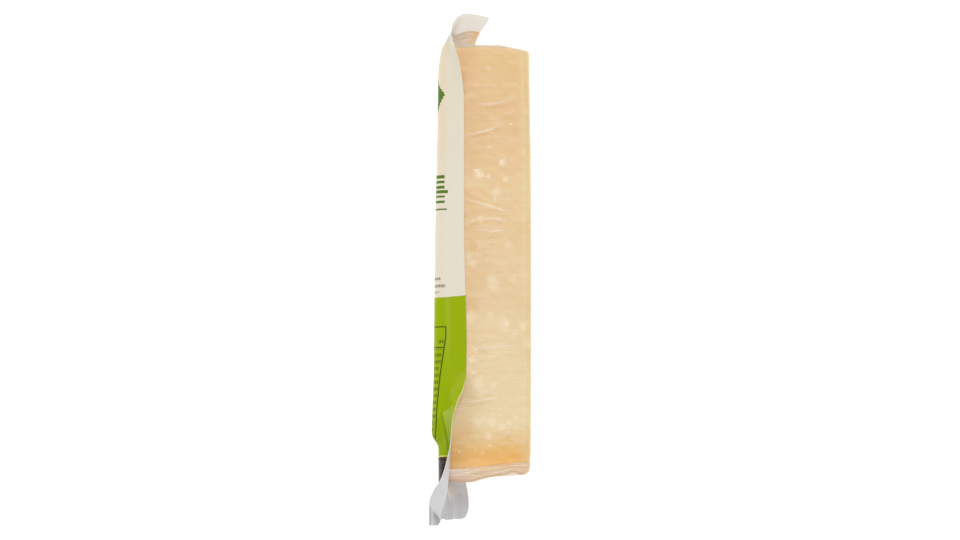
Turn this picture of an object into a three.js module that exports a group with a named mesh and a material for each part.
// A long wedge of hard cheese in its shop pack. The wedge is vacuum packed. A clear film clings to it, and a
// printed web covers the front, turns round both long edges and runs on past each end as a flap.
//
// The pack lies on one cut side, with the other cut side up. The printed front faces -X, the narrow end of
// the wedge points to +Y and the rind end to -Y. The origin is on the lower cut side, half way along it.
// Lengths are in millimetres.
import * as THREE from 'three';

// The wedge of cheese. A cut side runs out from the centre of the cheese wheel, where the two sides meet.
const chunkLength = 191;
const tipDepth = 10;
const rindDepth = 48;
const wedgeAngle = (rindDepth - tipDepth) / chunkLength;
const middleRadius = chunkLength / 2 + tipDepth / wedgeAngle;
const backCorner = 3.6;
const tipShoulderX = 5;
const tipShoulderDrop = 2.5;
const rindSlant = 3;
const rindSlantX = -15;
const pleatSlantX = -8;
const pleatLeft = 6;
const pleatRight = 4.8;
const pleatInset = 1.4;
const endRound = 2;
const rindRound = 0.4;
const mostRound = 0.42;

// The printed web. Between these two places it wraps the cheese, and past them it is a flap.
const rindFlapStart = -101;
const tipFlapStart = 93.6;
const webThickness = 0.5;
const gap = 0.3;
const rebate = webThickness + gap;
const rebateEdgeX = -7.2;
const rebateTipWidening = 3.4;
const rebateTipStart = 88;
const rebateTipEnd = 95;
const hairline = 0.01;
const frontCorner = 5.4;
const foldRound = 1.2;
const tipFlapEnd = 110.2;
const tipFlapUpperDrop = 4.8;
const tipFlapLowerDrop = 1.9;
const curlEnd = -120.6;

// The share of the way across the web, from its upper free edge to its lower one, of the tip flap's peak.
const tipFlapPeak = 0.7;

// Each pair below is a place along the pack and the size there, from the rind end to the tip.
const backX = [[-95.4, 21.2], [-88, 21.5], [-75, 21.6], [-50, 21.8], [0, 21.9], [50, 21.6], [95.4, 21]];
const frontX = [
  [rindFlapStart, -20.1], [-86, -20.2], [-84.4, -20.6], [-80.6, -22.9], [-78.5, -23.2], [-74, -23.1],
  [-66, -22.8], [-50, -22.3], [-20, -22.1], [0, -22], [23, -21.6], [45, -21.1], [71, -20.6], [84.6, -20.4],
  [88, -20.1], [tipFlapStart, -19], [97, -17.4],
];
const freeEdgeX = [
  [curlEnd, -24.3], [-111, -24.2], [-106, -22.6], [-102.5, -20.2], [-99, -18.3], [-93, -16.5], [-84, -14.6],
  [-76, -14], [-66, -11.5], [-60, -8.9], [-53, -7.8], [-40, -7.6], [10, -8.7], [71, -8.8], [86, -10.7],
  [95, -13.5], [99, -14.6], [103, -14.1], [108, -11.3],
];
const freeEdgeLift = [
  [curlEnd, -3.4], [-114, 2.6], [-107, 4.3], [-94, 7], [-85, 7.8], [-70, 7.2], [-60, 4], [-53, 0], [70, 0],
  [80, 1.5], [90, 4.5], [98.6, 7], [108, 6.4],
];
const foldX = [
  [-118, -19.2], [-109, -17.1], [-101.3, -15.3], [-94, -14.7], [-82, -14.5], [-66, -15.6], [-50, -16.2],
  [85, -15.4], [95.4, -15.3], [99, -15.1], [104, -13.9], [tipFlapEnd, -11.8],
];
const foldLift = [[-118, -2.2], [-112, -0.4], [rindFlapStart, 0.3], [-90, 0], [88, 0], [98.6, 1.4], [108, 1]];
const nearCornerX = [[-118, -18.2], [-110, -16.4], [-105.5, -16.6], [-103, -18.8], [rindFlapStart, -20.1]];
const nearCornerDrop = [[-110, 6], [-105, 3], [rindFlapStart, 0], [95, 0], [104, 2]];
const farCornerX = [[-118, -13], [-110, -13.6], [-105, -16.8], [rindFlapStart, -20.1]];
const tipCornerX = [[tipFlapStart, -19], [97, -17.4], [101, -15.4], [105, -13.5], [tipFlapEnd, -11.3]];
const tipFarCornerX = [[tipFlapStart, -19], [97, -17.2], [101, -14.4], [105, -11.9], [tipFlapEnd, -9.1]];
const farEdgeX = [
  [-119, -7.5], [-115, -6.7], [-112, -6.8], [-107.6, -7.3], [-104.4, -8], [rindFlapStart, -8.6], [-90, -8.8],
  [90, -8.8], [95.4, -4.6], [100, -2.3], [103.2, -0.2], [107, 2.4], [tipFlapEnd, 3],
];

// Pairs of a share of the way across the web and the place where the rind flap ends there.
const rindFlapEnds = [
  [0.16, curlEnd], [0.3, -117.6], [0.4, -117.5], [0.536, -118.5], [0.607, -119.9], [0.7, -120.6],
  [0.786, -120.8], [0.9, -120.4], [0.964, -119.5], [1, -118.3],
];

// A smooth value at a place along the pack, through the pairs, with no overshoot between them.
function along(pairs, place) {
  const last = pairs.length - 1;
  if (place <= pairs[0][0]) return pairs[0][1];
  if (place >= pairs[last][0]) return pairs[last][1];
  const slope = (i) => (pairs[i + 1][1] - pairs[i][1]) / (pairs[i + 1][0] - pairs[i][0]);
  const tangent = (i) => {
    if (i === 0 || i === last) return 0;
    const before = slope(i - 1);
    const after = slope(i);
    return before * after > 0 ? (2 * before * after) / (before + after) : 0;
  };
  const i = pairs.findIndex((pair, index) => index < last && place <= pairs[index + 1][0]);
  const width = pairs[i + 1][0] - pairs[i][0];
  const t = (place - pairs[i][0]) / width;
  const rise = pairs[i + 1][1] - pairs[i][1];
  const start = tangent(i) * width;
  const end = tangent(i + 1) * width;
  return pairs[i][1] + t * (start + t * (3 * rise - 2 * start - end + t * (start + end - 2 * rise)));
}

const depthAt = (place) => wedgeAngle * (middleRadius - place);

// A point of the pack from its x, its place along the cut sides and its height above the lower one.
// Height is measured round the wheel, so that every height of depthAt(place) is on the upper cut side.
function wedgePoint(x, place, height) {
  const radius = middleRadius - place;
  const angle = height / radius;
  return new THREE.Vector3(x, middleRadius - radius * Math.cos(angle), radius * Math.sin(angle));
}

const step = (from, to, value) => THREE.MathUtils.smoothstep(value, from, to);

// One point a given distance from a corner, towards another point.
const towards = (corner, other, distance) =>
  corner.clone().addScaledVector(other.clone().sub(corner).normalize(), distance);

// Points of a straight line or of a rounded corner, without the first one.
const line = (a, b, count) => new THREE.LineCurve(a, b).getPoints(count).slice(1);
const rounded = (a, corner, b, count) =>
  new THREE.QuadraticBezierCurve(a, corner, b).getPoints(count).slice(1);

// Corners of the web's middle surface across the pack: the upper free edge, the fold where that edge can turn
// out, the two long corners of the pack, and the lower free edge.
function webCorners(place) {
  const half = webThickness / 2;
  const top = depthAt(place) - half;
  const body = along(frontX, place);
  const tip = place > tipFlapStart;
  const flap = place < rindFlapStart;
  const nearX = tip ? along(tipCornerX, place) : flap ? along(nearCornerX, place) : body;
  const farX = tip ? along(tipFarCornerX, place) : flap ? along(farCornerX, place) : body;
  return {
    free: new THREE.Vector2(along(freeEdgeX, place), top + along(freeEdgeLift, place)),
    fold: new THREE.Vector2(along(foldX, place), top + along(foldLift, place)),
    near: new THREE.Vector2(nearX + half, top - along(nearCornerDrop, place)),
    far: new THREE.Vector2(farX + half, half),
    end: new THREE.Vector2(along(farEdgeX, place), half),
  };
}

const webCounts = { edge: 5, fold: 3, corner: 5, front: 4, under: 6 };

function webSection(place) {
  const c = webCorners(place);
  const round = Math.min(frontCorner, mostRound * c.near.distanceTo(c.far));
  const foldOut = towards(c.fold, c.free, foldRound);
  const foldIn = towards(c.fold, c.near, Math.min(foldRound, mostRound * c.fold.distanceTo(c.near)));
  const frontTop = towards(c.near, c.far, round);
  const frontBottom = towards(c.far, c.near, round);
  const under = towards(c.far, c.end, Math.min(round, mostRound * c.far.distanceTo(c.end)));
  return [
    c.free,
    ...line(c.free, foldOut, webCounts.edge),
    ...rounded(foldOut, c.fold, foldIn, webCounts.fold),
    ...rounded(foldIn, c.near, frontTop, webCounts.corner),
    ...line(frontTop, frontBottom, webCounts.front),
    ...rounded(frontBottom, c.far, under, webCounts.corner),
    ...line(under, c.end, webCounts.under),
  ];
}

const webAcross = Object.values(webCounts).reduce((sum, count) => sum + count, 0) + webCounts.corner;

// Where the tip flap ends, for a share of the way across from the upper free edge to the lower one.
function tipEndAt(share) {
  const upper = share < tipFlapPeak;
  const width = upper ? tipFlapPeak : 1 - tipFlapPeak;
  const drop = upper ? tipFlapUpperDrop : tipFlapLowerDrop;
  return tipFlapEnd - drop * ((share - tipFlapPeak) / width) ** 2;
}

// Places along the body of the pack that both solids share, so that their facets keep their distance.
const bodyPlaces = [
  rindFlapStart, -98, -95, -92, -89, -86, -84.4, -82.5, -80.6, -78.5, -76, -73, -69, -65, -61, -57, -53, -46,
  -30, 0, 35, 62, 71, 78, 84, 89, tipFlapStart,
];
const flapRows = 8;

// The middle surface of the web, as rows of points from the rind flap's end to the tip flap's end.
function webRows() {
  const shares = Array.from({ length: webAcross + 1 }, (_, i) => i / webAcross);
  const row = (placeOf) =>
    shares.map((share, i) => {
      const place = placeOf(share);
      const point = webSection(place)[i];
      return wedgePoint(point.x, place, point.y);
    });
  const rows = [];
  for (let j = flapRows; j > 0; j -= 1) {
    rows.push(row((share) => THREE.MathUtils.lerp(bodyPlaces[0], along(rindFlapEnds, share), j / flapRows)));
  }
  bodyPlaces.forEach((place) => rows.push(row(() => place)));
  for (let j = 1; j <= flapRows; j += 1) {
    rows.push(row((share) => THREE.MathUtils.lerp(bodyPlaces.at(-1), tipEndAt(share), j / flapRows)));
  }
  return rows;
}

// A closed sheet of even thickness about a grid of points.
function sheetSolid(rows, thickness) {
  const height = rows.length;
  const width = rows[0].length;
  const at = (j, i) => rows[Math.min(Math.max(j, 0), height - 1)][Math.min(Math.max(i, 0), width - 1)];
  const positions = [];
  for (const side of [1, -1]) {
    for (let j = 0; j < height; j += 1) {
      for (let i = 0; i < width; i += 1) {
        const across = at(j, i + 1).clone().sub(at(j, i - 1));
        const up = at(j + 1, i).clone().sub(at(j - 1, i));
        const normal = across.cross(up).normalize();
        const point = at(j, i).clone().addScaledVector(normal, (side * thickness) / 2);
        positions.push(point.x, point.y, Math.max(point.z, 0));
      }
    }
  }
  const front = (j, i) => j * width + i;
  const back = (j, i) => height * width + front(j, i);
  const faces = [];
  const quad = (a, b, c, d) => faces.push(a, b, c, a, c, d);
  for (let j = 0; j < height - 1; j += 1) {
    for (let i = 0; i < width - 1; i += 1) {
      quad(front(j, i), front(j, i + 1), front(j + 1, i + 1), front(j + 1, i));
      quad(back(j, i), back(j + 1, i), back(j + 1, i + 1), back(j, i + 1));
    }
    quad(front(j, 0), front(j + 1, 0), back(j + 1, 0), back(j, 0));
    quad(front(j, width - 1), back(j, width - 1), back(j + 1, width - 1), front(j + 1, width - 1));
  }
  for (let i = 0; i < width - 1; i += 1) {
    quad(front(0, i), back(0, i), back(0, i + 1), front(0, i + 1));
    const j = height - 1;
    quad(front(j, i), front(j, i + 1), back(j, i + 1), back(j, i));
  }
  return solid(positions, faces);
}

// A closed solid through rings of equal count, each cap a fan about the middle of its ring.
function ringSolid(rings) {
  const count = rings[0].length;
  const positions = rings.flat().flatMap((point) => [point.x, point.y, point.z]);
  const faces = [];
  for (let j = 0; j < rings.length - 1; j += 1) {
    for (let i = 0; i < count; i += 1) {
      const a = j * count + i;
      const b = j * count + ((i + 1) % count);
      faces.push(a, b, b + count, a, b + count, a + count);
    }
  }
  for (const [j, flip] of [[0, true], [rings.length - 1, false]]) {
    const middle = rings[j].reduce((sum, point) => sum.add(point), new THREE.Vector3()).divideScalar(count);
    const hub = positions.length / 3;
    positions.push(middle.x, middle.y, middle.z);
    for (let i = 0; i < count; i += 1) {
      const a = j * count + i;
      const b = j * count + ((i + 1) % count);
      faces.push(...(flip ? [hub, b, a] : [hub, a, b]));
    }
  }
  return solid(positions, faces);
}

function solid(positions, faces) {
  const geometry = new THREE.BufferGeometry();
  geometry.setAttribute('position', new THREE.Float32BufferAttribute(positions, 3));
  geometry.setIndex(faces);
  geometry.computeVertexNormals();
  return geometry;
}

const cheeseCounts = { side: 3, corner: 5 };

// The outline of the wrapped cheese across the pack, drawn in by an inset on every side. It runs from the
// rebate's edge on the upper side over the back to the lower side, and round the front under the web.
function cheeseSection(place, inset) {
  const corner = (x, y) => new THREE.Vector2(x, y);
  const top = depthAt(place);
  const back = along(backX, place) - inset / 2;
  const front = along(frontX, place) + rebate + inset;
  const edge = rebateEdgeX;
  const lowerEdge = edge + rebateTipWidening * step(rebateTipStart, rebateTipEnd, place);
  const high = top - inset;
  const low = inset;
  const round = Math.min(backCorner, mostRound * (high - low));
  const frontRound = Math.min(frontCorner, mostRound * (high - low));
  const shelf = Math.min(high, top - rebate);
  const lowShelf = Math.max(low, rebate);
  const side = cheeseCounts.side;
  const turn = cheeseCounts.corner;
  return [
    corner(edge, shelf),
    corner(edge + hairline, high),
    ...line(corner(edge, high), corner(back - round, high), side),
    ...rounded(corner(back - round, high), corner(back, high), corner(back, high - round), turn),
    ...line(corner(back, high - round), corner(back, low + round), side),
    ...rounded(corner(back, low + round), corner(back, low), corner(back - round, low), turn),
    ...line(corner(back - round, low), corner(lowerEdge, low), side),
    corner(lowerEdge, lowShelf + hairline),
    ...line(corner(lowerEdge, lowShelf), corner(front + frontRound, lowShelf), side),
    ...rounded(
      corner(front + frontRound, lowShelf), corner(front, lowShelf), corner(front, lowShelf + frontRound),
      turn,
    ),
    ...line(corner(front, lowShelf + frontRound), corner(front, shelf - frontRound), side),
    ...rounded(
      corner(front, shelf - frontRound), corner(front, shelf), corner(front + frontRound, shelf),
      turn,
    ),
  ];
}

const widest = 21.5;

// Where the cheese ends at the rind and at the tip, and how far the gathered film stands off the rind.
const rindPlace = (x) => -chunkLength / 2 + rindSlant * step(rindSlantX, widest, x);
const pleatPlace = (x) =>
  rindPlace(x) - THREE.MathUtils.lerp(pleatLeft, pleatRight, step(pleatSlantX, widest, x));
const tipPlace = (x) => chunkLength / 2 - tipShoulderDrop * step(tipShoulderX, widest, x);

function cheeseRings() {
  const ring = (placeOf, inset) => {
    const probe = cheeseSection(placeOf(0), inset);
    return probe.map((point, i) => {
      const place = placeOf(point.x);
      const exact = cheeseSection(place, inset)[i];
      return wedgePoint(exact.x, place, exact.y);
    });
  };
  const firstPlace = rindSlant + 2 * endRound - chunkLength / 2;
  const lastPlace = chunkLength / 2 - 2 * endRound - tipShoulderDrop;
  const middle = bodyPlaces.filter((place) => place > firstPlace && place < lastPlace);
  return [
    ring(pleatPlace, pleatInset + endRound),
    ring((x) => pleatPlace(x) + endRound / 2, pleatInset + endRound / 2),
    ring((x) => rindPlace(x) - rindRound, pleatInset),
    ring((x) => rindPlace(x) + rindRound, rindRound),
    ring((x) => rindPlace(x) + endRound, 0),
    ...middle.map((place) => ring(() => place, 0)),
    ring((x) => tipPlace(x) - endRound, 0),
    ring((x) => tipPlace(x) - endRound / 3, endRound / 4),
    ring(tipPlace, endRound),
  ];
}

const wrappedCheeseFinish = new THREE.MeshStandardMaterial({ color: 0xe6c896, roughness: 0.3, metalness: 0 });
const printedWebFinish = new THREE.MeshStandardMaterial({ color: 0xe6dec9, roughness: 0.35, metalness: 0 });

function piece(name, geometry, finish) {
  const mesh = new THREE.Mesh(geometry, finish);
  mesh.name = name;
  return mesh;
}

const pack = new THREE.Group();
pack.add(piece('wrapped_cheese', ringSolid(cheeseRings()), wrappedCheeseFinish));
pack.add(piece('printed_web', sheetSolid(webRows(), webThickness), printedWebFinish));

export default pack;
